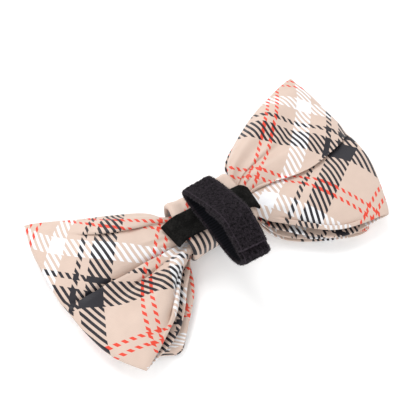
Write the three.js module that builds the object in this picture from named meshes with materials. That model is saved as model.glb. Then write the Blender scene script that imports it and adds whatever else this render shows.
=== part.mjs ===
// A pet bow tie on its hook-and-loop strap, lying on its face with its back up.
// Two bows, each a flattened loop of cloth that is open along its long edges, are gathered in
// a knot band. A felt strip lies across the knot's back, and the strap is closed on top of it.
// Millimetres. +X runs along the bow, +Y across it and +Z out of its back.
import * as THREE from "three";

// Cloth and the clearance between pieces that lie on each other
const clothWall = 1.0;
const seatGap = 0.35;

// Bows: how far the rims lie from the knot's middle, how tall the wings are, how high each bow lies
const leftReach = 66;
const rightReach = 71.5;
const wingHeight = 74;
const frontBowRise = 5.5;
const backBowRise = 12;
const rimFoldDepth = 3;

// Knot band
const knotLength = 29;
const knotWidth = 25;
const knotRise = 18;
const knotWall = 1.8;
const knotCorner = 5;
const knotShift = -1;
const neckDepth = 1;
const flareReach = 6.5;

// Felt strip
const feltLength = 37.5;
const feltWidth = 11;
const feltWall = 1.6;
const feltFlat = 31;
const feltDrop = 2.4;
const feltTurn = -5;

// Strap
const strapWidth = 12.7;
const strapWall = 1.8;
const strapLength = 40.4;
const strapRise = 18.8;
const strapRoll = 15;
const strapShift = -0.5;
const strapFarEnd = 8;
const lapWall = 1.4;

// What follows from the sizes above
const wingHalf = wingHeight / 2;
const neckHalf = knotWidth / 2 - knotWall - seatGap - clothWall / 2;
const neckX = knotLength / 2 - neckDepth;
const flareX = knotLength / 2 + flareReach;
const neckLow = knotWall + seatGap + clothWall / 2;
const neckSpan = knotRise - 2 * neckLow;
const backBowBase = frontBowRise + seatGap;

// Fold lines of a wing, from the top hem to the bottom hem, a row for each, at four places from
// the knot outwards. In the neck, inside the knot, Y and Z are shares of the neck's half width and
// height. At the flare, just outside the knot, and midway, Y is a share of the wing's half height
// and Z of the bow's rise. At the rim X is a share of the wing's reach, Y and Z as before.
const foldColumns = ["neckY", "neckZ", "flareY", "flareZ", "midY", "midZ", "rimX", "rimY", "rimZ"];

const backBowFolds = {
  leftBack: [
    [0.91, 0.72, 0.39, 0.57, 0.66, 0.58, 0.94, 1.0, 0.22],
    [0.42, 0.9, 0.14, 0.78, 0.36, 0.95, 0.95, 0.9, 0.28],
    [0.02, 0.88, 0.0, 0.8, 0.12, 0.88, 0.99, 0.5, 0.31],
    [-0.34, 0.86, -0.13, 0.76, -0.1, 0.66, 1.0, 0.03, 0.3],
    [-0.3, 0.7, -0.1, 0.5, -0.03, 0.36, 0.995, -0.02, 0.25],
    [-0.5, 0.66, -0.18, 0.42, -0.24, 0.26, 0.975, -0.34, 0.22],
    [-0.74, 0.87, -0.28, 0.8, -0.54, 0.8, 0.925, -0.7, 0.3],
    [-0.9, 0.78, -0.35, 0.56, -0.75, 0.48, 0.83, -0.97, 0.28],
    [-0.9, 0.66, -0.36, 0.38, -0.77, 0.28, 0.815, -1.0, 0.22],
  ],
  leftFront: [
    [0.92, 0.44, 0.43, 0.14, 0.69, 0.06, 0.94, 1.0, 0.05],
    [0.48, 0.48, 0.22, 0.1, 0.38, 0.02, 0.95, 0.9, 0.02],
    [0.06, 0.42, 0.04, 0.16, 0.12, 0.1, 0.99, 0.5, 0.04],
    [-0.26, 0.48, -0.12, 0.08, -0.08, 0.03, 1.0, 0.03, 0.0],
    [-0.36, 0.47, -0.16, 0.1, -0.14, 0.03, 0.995, -0.02, 0.0],
    [-0.52, 0.42, -0.24, 0.14, -0.34, 0.09, 0.975, -0.34, 0.04],
    [-0.7, 0.47, -0.32, 0.08, -0.6, 0.0, 0.925, -0.7, 0.02],
    [-0.8, 0.42, -0.39, 0.12, -0.81, 0.05, 0.83, -0.97, 0.04],
    [-0.93, 0.47, -0.46, 0.16, -0.87, 0.09, 0.815, -1.0, 0.05],
  ],
  rightBack: [
    [0.9, 0.7, 0.45, 0.52, 0.78, 0.62, 0.97, 1.0, 0.24],
    [0.7, 0.86, 0.34, 0.82, 0.6, 0.95, 0.985, 0.76, 0.34],
    [0.4, 0.7, 0.18, 0.52, 0.31, 0.68, 0.995, 0.46, 0.3],
    [0.16, 0.88, 0.09, 0.8, 0.12, 0.82, 1.0, 0.18, 0.34],
    [-0.14, 0.7, 0.01, 0.56, -0.12, 0.66, 0.995, 0.03, 0.34],
    [-0.36, 0.84, -0.07, 0.7, -0.17, 0.5, 1.0, -0.03, 0.25],
    [-0.64, 0.9, -0.2, 0.84, -0.46, 0.8, 0.985, -0.4, 0.31],
    [-0.9, 0.8, -0.4, 0.62, -0.83, 0.52, 0.87, -0.93, 0.3],
    [-0.93, 0.66, -0.46, 0.38, -0.89, 0.28, 0.845, -1.0, 0.24],
  ],
  rightFront: [
    [0.92, 0.46, 0.5, 0.14, 0.81, 0.06, 0.97, 1.0, 0.05],
    [0.66, 0.42, 0.36, 0.1, 0.6, 0.03, 0.985, 0.76, 0.02],
    [0.38, 0.48, 0.2, 0.16, 0.32, 0.1, 0.995, 0.46, 0.04],
    [0.12, 0.42, 0.08, 0.08, 0.1, 0.02, 1.0, 0.18, 0.0],
    [-0.12, 0.48, -0.04, 0.12, -0.1, 0.03, 0.995, 0.03, 0.0],
    [-0.34, 0.43, -0.12, 0.08, -0.2, 0.05, 1.0, -0.03, 0.02],
    [-0.6, 0.48, -0.28, 0.12, -0.5, 0.0, 0.985, -0.4, 0.02],
    [-0.84, 0.42, -0.44, 0.1, -0.86, 0.05, 0.87, -0.93, 0.04],
    [-0.93, 0.46, -0.53, 0.14, -0.94, 0.09, 0.845, -1.0, 0.05],
  ],
};

const frontBowFolds = {
  leftBack: [
    [0.9, 0.27, 0.4, 1.0, 0.6, 0.84, 0.83, 0.95, 0.72],
    [0.5, 0.22, 0.2, 0.9, 0.3, 1.0, 0.955, 0.5, 0.78],
    [0.1, 0.28, 0.03, 1.0, 0.03, 0.86, 0.97, 0.05, 0.76],
    [-0.3, 0.22, -0.16, 0.9, -0.27, 1.0, 0.95, -0.35, 0.78],
    [-0.65, 0.28, -0.36, 1.0, -0.56, 0.88, 0.875, -0.72, 0.7],
    [-0.92, 0.25, -0.52, 0.9, -0.76, 0.8, 0.625, -1.0, 0.55],
  ],
  leftFront: [
    [0.8, 0.06, 0.42, 0.3, 0.62, 0.26, 0.83, 0.95, 0.12],
    [0.46, 0.1, 0.2, 0.16, 0.3, 0.1, 0.955, 0.5, 0.09],
    [0.08, 0.04, 0.02, 0.34, 0.02, 0.32, 0.97, 0.05, 0.12],
    [-0.26, 0.1, -0.18, 0.16, -0.3, 0.1, 0.95, -0.35, 0.09],
    [-0.54, 0.04, -0.36, 0.34, -0.56, 0.28, 0.875, -0.72, 0.1],
    [-0.8, 0.09, -0.5, 0.2, -0.74, 0.12, 0.625, -1.0, 0.07],
  ],
  rightBack: [
    [0.9, 0.27, 0.44, 1.0, 0.72, 0.84, 0.86, 0.95, 0.72],
    [0.5, 0.22, 0.24, 0.9, 0.38, 1.0, 0.93, 0.5, 0.78],
    [0.1, 0.28, 0.04, 1.0, 0.05, 0.86, 0.955, 0.05, 0.76],
    [-0.3, 0.22, -0.18, 0.9, -0.28, 1.0, 0.93, -0.35, 0.78],
    [-0.65, 0.28, -0.38, 1.0, -0.6, 0.88, 0.85, -0.72, 0.7],
    [-0.92, 0.25, -0.56, 0.9, -0.84, 0.8, 0.74, -0.98, 0.55],
  ],
  rightFront: [
    [0.8, 0.06, 0.46, 0.3, 0.74, 0.26, 0.86, 0.95, 0.12],
    [0.46, 0.1, 0.24, 0.16, 0.38, 0.1, 0.93, 0.5, 0.09],
    [0.08, 0.04, 0.04, 0.34, 0.04, 0.32, 0.955, 0.05, 0.12],
    [-0.26, 0.1, -0.18, 0.16, -0.3, 0.1, 0.93, -0.35, 0.09],
    [-0.54, 0.04, -0.38, 0.34, -0.6, 0.28, 0.85, -0.72, 0.1],
    [-0.8, 0.09, -0.54, 0.2, -0.82, 0.12, 0.74, -0.98, 0.07],
  ],
};

// The strap's loop seen from its side, a row for each bend: along is a share of strapLength from
// the far end, up a share of strapRise, both at the middle of the tape, and roll a share of
// strapRoll, by which the tape leans towards +X.
const strapColumns = ["along", "up", "roll"];
const strapLoop = [
  [0.08, 0.02, 0.0],
  [0.18, 0.0, 0.0],
  [0.31, 0.0, 0.0],
  [0.59, 0.0, 0.0],
  [0.74, 0.0, 0.0],
  [0.87, 0.05, 0.25],
  [0.96, 0.18, 0.6],
  [1.0, 0.38, 0.9],
  [0.97, 0.56, 1.0],
  [0.9, 0.71, 1.0],
  [0.79, 0.87, 1.0],
  [0.65, 1.0, 1.0],
  [0.46, 0.84, 0.8],
  [0.26, 0.6, 0.4],
  [0.08, 0.34, 0.1],
  [0.0, 0.16, 0.0],
];
// Where the free end laps over the loop, in rows of the table above
const lapStart = 8.4;
const lapEnd = 12.4;

const named = (columns, row) => Object.fromEntries(columns.map((name, i) => [name, row[i]]));

// Points of a smooth curve through the given ones, with so many steps in each stretch.
function curveThrough(points, stepsOf, closed) {
  const curve = new THREE.CatmullRomCurve3(points, closed, "centripetal");
  const stretches = closed ? points.length : points.length - 1;
  const out = [];
  for (let stretch = 0; stretch < stretches; stretch += 1) {
    const steps = stepsOf(stretch);
    for (let step = 0; step < steps; step += 1) {
      out.push(curve.getPoint((stretch + step / steps) / stretches));
    }
  }
  if (!closed) {
    out.push(points[points.length - 1].clone());
  }
  return out;
}

// A sheet with a wall: a grid of points at the middle of the wall, grid[column][row], becomes a
// closed body. The columns close on themselves when closed is true.
function sheetBody(grid, wallAt, closed) {
  const columns = grid.length;
  const rows = grid[0].length;
  const at = (c, r) => {
    const column = closed ? (c + columns) % columns : Math.min(Math.max(c, 0), columns - 1);
    return grid[column][Math.min(Math.max(r, 0), rows - 1)];
  };
  const vertices = [];
  for (const side of [1, -1]) {
    for (let c = 0; c < columns; c += 1) {
      for (let r = 0; r < rows; r += 1) {
        const along = at(c + 1, r).clone().sub(at(c - 1, r));
        const across = at(c, r + 1).clone().sub(at(c, r - 1));
        const normal = along.cross(across).normalize();
        const wall = wallAt(c, r, side);
        vertices.push(at(c, r).clone().addScaledVector(normal, side * wall));
      }
    }
  }
  const outer = (c, r) => ((c + columns) % columns) * rows + r;
  const inner = (c, r) => columns * rows + outer(c, r);
  const triangles = [];
  const quad = (a, b, c, d) => {
    triangles.push(a, b, c, a, c, d);
  };
  const spans = closed ? columns : columns - 1;
  for (let c = 0; c < spans; c += 1) {
    for (let r = 0; r < rows - 1; r += 1) {
      quad(outer(c, r), outer(c + 1, r), outer(c + 1, r + 1), outer(c, r + 1));
      quad(inner(c, r), inner(c, r + 1), inner(c + 1, r + 1), inner(c + 1, r));
    }
    quad(outer(c + 1, 0), outer(c, 0), inner(c, 0), inner(c + 1, 0));
    quad(outer(c, rows - 1), outer(c + 1, rows - 1), inner(c + 1, rows - 1), inner(c, rows - 1));
  }
  if (!closed) {
    const last = columns - 1;
    for (let r = 0; r < rows - 1; r += 1) {
      quad(outer(0, r), outer(0, r + 1), inner(0, r + 1), inner(0, r));
      quad(outer(last, r + 1), outer(last, r), inner(last, r), inner(last, r + 1));
    }
  }
  const geometry = new THREE.BufferGeometry();
  geometry.setAttribute("position", new THREE.Float32BufferAttribute(vertices.flatMap((p) => p.toArray()), 3));
  geometry.setIndex(triangles);
  return geometry;
}

// The places that one fold line passes on one face of a wing, from the neck to the rim.
function foldLine(row, side, reach, base, rise) {
  const fold = named(foldColumns, row);
  const height = (share) => base + clothWall / 2 + share * (rise - clothWall);
  const tipX = fold.rimX * reach - clothWall / 2;
  const rimX = tipX - rimFoldDepth;
  const neck = new THREE.Vector3(side * neckX, knotShift + fold.neckY * neckHalf, neckLow + fold.neckZ * neckSpan);
  const flare = new THREE.Vector3(side * flareX, fold.flareY * wingHalf, height(fold.flareZ));
  const mid = new THREE.Vector3((side * (flareX + rimX)) / 2, fold.midY * wingHalf, height(fold.midZ));
  const rim = new THREE.Vector3(side * rimX, fold.rimY * wingHalf, height(fold.rimZ));
  return { neck, flare, mid, rim, tipX: side * tipX };
}

// One bow: the loop of each fold line runs over the back of the right wing, round its rim, back
// along the face and through the knot, and the same way round on the left.
function bowGeometry(folds, base, rise, wingSteps, rowSteps) {
  const loops = folds.leftBack.map((_, i) => {
    const rightBack = foldLine(folds.rightBack[i], 1, rightReach, base, rise);
    const rightFront = foldLine(folds.rightFront[i], 1, rightReach, base, rise);
    const leftBack = foldLine(folds.leftBack[i], -1, leftReach, base, rise);
    const leftFront = foldLine(folds.leftFront[i], -1, leftReach, base, rise);
    const between = (a, b) => a.clone().add(b).multiplyScalar(0.5);
    const tip = (back, front) => between(back.rim, front.rim).setX(back.tipX);
    const points = [
      between(leftBack.neck, rightBack.neck),
      rightBack.neck,
      rightBack.flare,
      rightBack.mid,
      rightBack.rim,
      tip(rightBack, rightFront),
      rightFront.rim,
      rightFront.mid,
      rightFront.flare,
      rightFront.neck,
      between(rightFront.neck, leftFront.neck),
      leftFront.neck,
      leftFront.flare,
      leftFront.mid,
      leftFront.rim,
      tip(leftBack, leftFront),
      leftBack.rim,
      leftBack.mid,
      leftBack.flare,
      leftBack.neck,
    ];
    const steps = [1, 3, wingSteps, wingSteps, 2, 2, wingSteps, wingSteps, 3, 1];
    return curveThrough(points, (stretch) => steps[stretch % steps.length], true);
  });
  const grid = loops[0].map((_, c) => curveThrough(loops.map((loop) => loop[c]), () => rowSteps, false));
  return sheetBody(grid, () => clothWall / 2, true);
}

// The knot band: a rounded ring round the bows, its bottom flat on the table.
function knotGeometry() {
  const cornerSteps = 5;
  const lengthSteps = 4;
  const halfWidth = (knotWidth - knotWall) / 2;
  const radius = knotCorner - knotWall / 2;
  const low = knotWall / 2;
  const high = knotRise - knotWall / 2;
  const corners = [
    { y: halfWidth - radius, z: low + radius, turn: -Math.PI / 2 },
    { y: halfWidth - radius, z: high - radius, turn: 0 },
    { y: radius - halfWidth, z: high - radius, turn: Math.PI / 2 },
    { y: radius - halfWidth, z: low + radius, turn: Math.PI },
  ];
  const outline = corners.flatMap((corner) => {
    const steps = Array.from({ length: cornerSteps + 1 }, (_, i) => corner.turn + (i / cornerSteps) * (Math.PI / 2));
    return steps.map((angle) => ({
      y: knotShift + corner.y + radius * Math.cos(angle),
      z: corner.z + radius * Math.sin(angle),
    }));
  });
  const grid = outline.map((point) =>
    Array.from({ length: lengthSteps + 1 }, (_, r) => {
      const x = (r / lengthSteps - 0.5) * knotLength;
      return new THREE.Vector3(x, point.y, point.z);
    }),
  );
  return sheetBody(grid, () => knotWall / 2, true);
}

// The felt strip: flat on the knot's back, its ends bent down over the wings.
function feltGeometry() {
  const columns = 14;
  const rows = 3;
  const endTaper = 0.12;
  const grid = Array.from({ length: columns + 1 }, (_, c) => {
    const x = (c / columns - 0.5) * feltLength;
    const past = Math.max(0, (Math.abs(x) - feltFlat / 2) / ((feltLength - feltFlat) / 2));
    const z = knotRise + seatGap + feltWall / 2 - feltDrop * past ** 1.5;
    const half = (feltWidth / 2) * (1 - endTaper * past ** 4);
    return Array.from({ length: rows + 1 }, (_, r) => new THREE.Vector3(x, (r / rows - 0.5) * 2 * half, z));
  });
  return sheetBody(grid, () => feltWall / 2, false);
}

// The strap: tape closed into a loop, its free end lapped over the outside.
function strapGeometry() {
  const steps = 3;
  const seat = knotRise + seatGap + feltWall + seatGap + strapWall / 2;
  const reach = strapLength - strapWall;
  const rise = strapRise - strapWall;
  const points = strapLoop.map((row) => {
    const { along, up, roll } = named(strapColumns, row);
    return new THREE.Vector3(roll, strapFarEnd - along * reach, seat + up * rise);
  });
  const loop = curveThrough(points, () => steps, true);
  const inLap = (c) => c / steps >= lapStart && c / steps <= lapEnd;
  const grid = loop.map((point) =>
    [-0.5, 0.5].map((share) => {
      const angle = THREE.MathUtils.degToRad(strapRoll * point.x);
      const across = share * strapWidth;
      return new THREE.Vector3(across * Math.cos(angle), point.y, point.z - across * Math.sin(angle));
    }),
  );
  return sheetBody(grid, (c, r, side) => strapWall / 2 + (side > 0 && inLap(c) ? lapWall : 0), true);
}

function piece(name, geometry, color, roughness) {
  const material = new THREE.MeshStandardMaterial({ color, roughness, metalness: 0 });
  const mesh = new THREE.Mesh(geometry, material);
  mesh.name = name;
  return mesh;
}

const backBow = piece("back_bow", bowGeometry(backBowFolds, backBowBase, backBowRise, 4, 3), 0xe3cdb9, 0.6);
const frontBow = piece("front_bow", bowGeometry(frontBowFolds, 0, frontBowRise, 3, 3), 0xe3cdb9, 0.6);
const knotBand = piece("knot_band", knotGeometry(), 0xe3cdb9, 0.6);
const feltStrip = piece("felt_strip", feltGeometry(), 0x25272a, 0.95);
const strap = piece("strap", strapGeometry(), 0x151416, 0.95);

feltStrip.position.set(-0.4, knotShift - 1.9, 0);
feltStrip.rotation.z = THREE.MathUtils.degToRad(feltTurn);
strap.position.x = strapShift;

const bow = new THREE.Group();
bow.add(backBow, frontBow, knotBand, feltStrip, strap);

// The origin is the middle of the bow's footprint, on the table.
bow.updateMatrixWorld(true);
const box = new THREE.Box3().setFromObject(bow, true);
const middle = box.getCenter(new THREE.Vector3());
bow.position.set(-middle.x, -middle.y, -box.min.z);
const group = new THREE.Group();
group.add(bow);

export default group;
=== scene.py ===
"""A pet bow tie lying on its face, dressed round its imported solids.

Two cloth bows gathered in a knot band, a felt strip across the knot's back and a
closed hook-and-loop strap. The fold lines' and the strap's tables are shares of
named sizes, and every other length is in metres.
"""

import math

import bpy
import numpy as np
from bpy.props import FloatProperty, FloatVectorProperty, IntProperty, PointerProperty
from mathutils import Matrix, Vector


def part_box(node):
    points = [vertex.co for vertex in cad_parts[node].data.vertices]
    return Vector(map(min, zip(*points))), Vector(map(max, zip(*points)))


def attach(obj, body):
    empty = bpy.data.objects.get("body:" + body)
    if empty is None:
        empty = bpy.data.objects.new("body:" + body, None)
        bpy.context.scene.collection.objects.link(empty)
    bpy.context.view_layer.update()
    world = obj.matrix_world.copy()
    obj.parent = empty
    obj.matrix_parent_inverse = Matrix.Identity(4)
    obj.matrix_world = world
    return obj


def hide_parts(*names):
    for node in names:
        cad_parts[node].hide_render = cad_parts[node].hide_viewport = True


bl_info = {
    "name": "Pet Bow Tie",
    "version": (1, 0, 0),
    "blender": (4, 5, 0),
    "location": "View3D > Sidebar > Bow Tie",
    "description": "Builds a pet bow tie with its strap, cloth and studio",
    "category": "Add Mesh",
}

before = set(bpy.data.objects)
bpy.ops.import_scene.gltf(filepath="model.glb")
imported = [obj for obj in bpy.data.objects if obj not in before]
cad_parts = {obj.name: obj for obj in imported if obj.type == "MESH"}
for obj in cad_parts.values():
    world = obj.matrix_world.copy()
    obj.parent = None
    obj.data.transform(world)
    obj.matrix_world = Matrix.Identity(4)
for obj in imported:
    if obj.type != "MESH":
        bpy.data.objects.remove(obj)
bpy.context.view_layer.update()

# The flat sizes, in metres. No pattern was at hand, and those of the two bows are too small: their
# cloth measures 0.077 by 0.278 and 0.073 by 0.264 on the model. The knot band measures 0.027 by
# 0.062, and the strap's tape 0.115 along.
STRAP_FLAT_LENGTH = 0.13

# The cloth's grid: the steps between the fold lines of each bow, the steps along a wing from the
# flare to midway and from there to the rim, and those in the neck and round the rim.
BACK_BOW_STEPS = (10, 12, 14, 22, 22, 14, 12, 10)
FRONT_BOW_STEPS = (14,) * 5
BACK_WING_STEPS = 24
FRONT_WING_STEPS = 18
NECK_STEPS = 3
TIP_STEPS = 3
# The share of their slant that the back bow's fold lines keep where they turn round the rim.
BACK_TIP_FAN = 0.7

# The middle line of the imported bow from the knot's middle in Y, how far inside the knot the necks
# start, and how far past it the flare lies.
KNOT_SHIFT = 0.001
NECK_DEPTH = 0.001
FLARE_REACH = 0.0065

# The dressed knot band: its wall, how far its near side and its underside stand in from the
# packed band, the radii of its corners in Y and Z, in the order of a walk round it, the points in
# a corner, and the rows across.
BAND_WALL = 0.0014
BAND_NEAR_INSET = 0.0012
BAND_UNDER_INSET = 0.0018
BAND_RADII = {(1, -1): 0.0080, (1, 1): 0.0050, (-1, 1): 0.0050, (-1, -1): 0.0088}
BAND_CORNER_POINTS = 9
BAND_ROWS = 61
# How deep the band's hems, pleats and the cloth's own wall reach in past the band's wall, and how
# far past the band's hems the bows' necks come free of it.
BAND_INNER_ROOM = 0.0012
NECK_FADE = 0.0035
# The band's pleats and pinched middle in metres, the radians that the pleats run through from its
# middle to a hem, the hems' shares of the way and what they add to the wall.
PLEAT_DEPTH = 0.0002
PLEAT_RADIANS = 15
PINCH_DEPTH = 0.0005
BAND_HEMS = (0.84, 0.95)
HEM_WALL = 0.0006
# The left end's open mouth: where it opens towards the left hem, as shares of the half width, and
# towards the far side, how far it stands off, and how far its hem is drawn back to the right.
MOUTH_ACROSS = (0.2, 1.0)
MOUTH_ALONG = (0.001, 0.010)
MOUTH_LIFT = 0.0008
MOUTH_REACH = 0.0014
# Where the band lies in the plaid.
BAND_PRINT = (0.0261, -0.0141)

# Folds get narrower and flatter where the cloth across the wing is gathered to less than the
# rim's length over FOLD_ROOM, and end inside the knot, between these shares of the way out. A
# fold comes and goes over FOLD_RISE and FOLD_FALL, as shares of the way. LAP_TURN is the cloth that
# a lap takes in, in its own widths, and LAP_SOFTNESS and LAP_REACH say how sharply its two sides
# part and how many widths away they have come together again.
FOLD_ROOM = 1.6
LAP_TURN = 1.35
LAP_SOFTNESS = 0.36
LAP_REACH = 4
IN_KNOT = (0.01, 0.07)
FOLD_RISE = (-0.1, 0.15)
FOLD_FALL = 0.3

# Small waves: how many are added up, and the height and length of those of the cloth, the felt
# and the strap.
RIPPLE_WAVES = 14
CLOTH_RIPPLE = (0.0006, 0.016)
FELT_RIPPLE = (0.0002, 0.006)
STRAP_RIPPLE = (0.00018, 0.004)

# The cloth's wall is at most TURN_SHARE times the radius it turns by, and at least LEAST_WALL of
# its full thickness.
TURN_SHARE = 1.4
LEAST_WALL = 0.3

# A cell's corners as slices of the grid of points, and the rounds of laying the cloth flat.
LOW, HIGH = slice(None, -1), slice(1, None)
CORNERS = ((LOW, LOW), (HIGH, LOW), (HIGH, HIGH), (LOW, HIGH))
FLATTEN_PASSES = 24
SETTLE_ROUNDS = 40

# The felt strip: its size, its turn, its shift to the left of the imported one, and its grid. Each
# pair below is for its left and its right end: where the end starts to bend down, by how much,
# how sharply, and how far it slips to the near side.
FELT_LENGTH = 0.0370
FELT_WIDTH = 0.0110
FELT_TURN = math.radians(-5)
FELT_SHIFT = 0.0008
FELT_GRID = (90, 28)
FELT_LEVEL = (0.012, 0.0148)
FELT_DROP = (0.0031, 0.0016)
FELT_BEND = (1.5, 2.0)
FELT_SLIP = (-0.0004, -0.0014)
# How far the left end's cut slants.
FELT_SLANT = 0.0010

# Fold lines of a wing, from the top hem to the bottom hem, a row for each, at four places from
# the knot outwards. In the neck, inside the knot, Y and Z are shares of the neck's half width and
# height. At the flare, just outside the knot, and midway, Y is a share of the wing's half height
# and Z of the bow's rise. At the rim X is a share of the wing's reach, Y and Z as before.
FOLD_COLUMNS = (
    *("neck_y", "neck_z", "flare_y", "flare_z", "mid_y", "mid_z"),
    *("rim_x", "rim_y", "rim_z"),
)

BACK_BOW_FOLDS = {
    "left_back": (
        (0.91, 0.72, 0.39, 0.57, 0.66, 0.58, 0.94, 1.0, 0.22),
        (0.42, 0.9, 0.14, 0.78, 0.36, 0.95, 0.95, 0.9, 0.28),
        (0.02, 0.88, 0.0, 0.8, 0.12, 0.88, 0.99, 0.5, 0.31),
        (-0.26, 0.82, -0.09, 0.74, -0.02, 0.74, 1.0, 0.03, 0.3),
        (-0.36, 0.6, -0.13, 0.42, -0.11, 0.46, 0.995, -0.03, 0.25),
        (-0.48, 0.56, -0.18, 0.3, -0.24, 0.24, 0.975, -0.34, 0.22),
        (-0.74, 0.87, -0.28, 0.8, -0.54, 0.8, 0.925, -0.7, 0.3),
        (-0.9, 0.78, -0.35, 0.56, -0.75, 0.48, 0.83, -0.97, 0.28),
        (-0.9, 0.66, -0.36, 0.38, -0.77, 0.28, 0.815, -1.0, 0.22),
    ),
    "left_front": (
        (0.92, 0.44, 0.43, 0.14, 0.69, 0.06, 0.94, 1.0, 0.05),
        (0.48, 0.48, 0.22, 0.1, 0.38, 0.02, 0.95, 0.9, 0.02),
        (0.06, 0.42, 0.04, 0.16, 0.12, 0.1, 0.99, 0.5, 0.04),
        (-0.26, 0.48, -0.12, 0.08, -0.08, 0.03, 1.0, 0.03, 0.0),
        (-0.36, 0.47, -0.16, 0.1, -0.14, 0.03, 0.995, -0.02, 0.0),
        (-0.52, 0.42, -0.24, 0.14, -0.34, 0.09, 0.975, -0.34, 0.04),
        (-0.7, 0.47, -0.32, 0.08, -0.6, 0.0, 0.925, -0.7, 0.02),
        (-0.8, 0.42, -0.39, 0.12, -0.81, 0.05, 0.83, -0.97, 0.04),
        (-0.93, 0.47, -0.46, 0.16, -0.87, 0.09, 0.815, -1.0, 0.05),
    ),
    "right_back": (
        (0.9, 0.7, 0.45, 0.52, 0.78, 0.62, 0.97, 1.0, 0.24),
        (0.7, 0.86, 0.34, 0.82, 0.6, 0.95, 0.985, 0.76, 0.34),
        (0.4, 0.7, 0.18, 0.52, 0.31, 0.68, 0.995, 0.46, 0.3),
        (0.16, 0.88, 0.09, 0.8, 0.12, 0.82, 1.0, 0.18, 0.34),
        (-0.12, 0.72, 0.02, 0.6, -0.09, 0.6, 0.995, 0.03, 0.3),
        (-0.3, 0.8, -0.06, 0.68, -0.18, 0.66, 1.0, -0.04, 0.29),
        (-0.64, 0.9, -0.2, 0.84, -0.46, 0.8, 0.985, -0.4, 0.31),
        (-0.9, 0.8, -0.4, 0.62, -0.83, 0.52, 0.87, -0.93, 0.3),
        (-0.93, 0.66, -0.46, 0.38, -0.89, 0.28, 0.845, -1.0, 0.24),
    ),
    "right_front": (
        (0.92, 0.46, 0.5, 0.14, 0.81, 0.06, 0.97, 1.0, 0.05),
        (0.66, 0.42, 0.36, 0.1, 0.6, 0.03, 0.985, 0.76, 0.02),
        (0.38, 0.48, 0.2, 0.16, 0.32, 0.1, 0.995, 0.46, 0.04),
        (0.12, 0.42, 0.08, 0.08, 0.1, 0.02, 1.0, 0.18, 0.0),
        (-0.12, 0.48, -0.04, 0.12, -0.1, 0.03, 0.995, 0.03, 0.0),
        (-0.34, 0.43, -0.12, 0.08, -0.2, 0.05, 1.0, -0.03, 0.02),
        (-0.6, 0.48, -0.28, 0.12, -0.5, 0.0, 0.985, -0.4, 0.02),
        (-0.84, 0.42, -0.44, 0.1, -0.86, 0.05, 0.87, -0.93, 0.04),
        (-0.93, 0.46, -0.53, 0.14, -0.94, 0.09, 0.845, -1.0, 0.05),
    ),
}

FRONT_BOW_FOLDS = {
    "left_back": (
        (0.88, 0.3, 0.4, 1.0, 0.6, 0.84, 0.83, 0.95, 0.72),
        (0.5, 0.22, 0.2, 0.9, 0.3, 1.0, 0.955, 0.5, 0.78),
        (0.1, 0.28, 0.03, 1.0, 0.03, 0.86, 0.97, 0.05, 0.76),
        (-0.3, 0.22, -0.16, 0.9, -0.27, 1.0, 0.95, -0.35, 0.78),
        (-0.6, 0.31, -0.37, 1.0, -0.57, 0.88, 0.875, -0.72, 0.7),
        (-0.8, 0.3, -0.56, 0.9, -0.8, 0.8, 0.625, -1.0, 0.55),
    ),
    "left_front": (
        (0.78, 0.14, 0.42, 0.3, 0.62, 0.26, 0.83, 0.95, 0.12),
        (0.46, 0.17, 0.2, 0.16, 0.3, 0.1, 0.955, 0.5, 0.09),
        (0.08, 0.13, 0.02, 0.34, 0.02, 0.32, 0.97, 0.05, 0.12),
        (-0.26, 0.17, -0.18, 0.16, -0.3, 0.1, 0.95, -0.35, 0.09),
        (-0.5, 0.14, -0.36, 0.34, -0.56, 0.28, 0.875, -0.72, 0.1),
        (-0.7, 0.18, -0.54, 0.2, -0.78, 0.12, 0.625, -1.0, 0.07),
    ),
    "right_back": (
        (0.88, 0.3, 0.44, 1.0, 0.72, 0.84, 0.86, 0.95, 0.72),
        (0.5, 0.22, 0.24, 0.9, 0.38, 1.0, 0.93, 0.5, 0.78),
        (0.1, 0.28, 0.04, 1.0, 0.05, 0.86, 0.955, 0.05, 0.76),
        (-0.3, 0.22, -0.18, 0.9, -0.28, 1.0, 0.93, -0.35, 0.78),
        (-0.6, 0.31, -0.38, 1.0, -0.6, 0.88, 0.85, -0.72, 0.7),
        (-0.8, 0.3, -0.56, 0.9, -0.84, 0.8, 0.74, -0.98, 0.55),
    ),
    "right_front": (
        (0.78, 0.14, 0.46, 0.3, 0.74, 0.26, 0.86, 0.95, 0.12),
        (0.46, 0.17, 0.24, 0.16, 0.38, 0.1, 0.93, 0.5, 0.09),
        (0.08, 0.13, 0.04, 0.34, 0.04, 0.32, 0.955, 0.05, 0.12),
        (-0.26, 0.17, -0.18, 0.16, -0.3, 0.1, 0.93, -0.35, 0.09),
        (-0.5, 0.14, -0.38, 0.34, -0.6, 0.28, 0.85, -0.72, 0.1),
        (-0.7, 0.18, -0.54, 0.2, -0.82, 0.12, 0.74, -0.98, 0.07),
    ),
}

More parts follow.
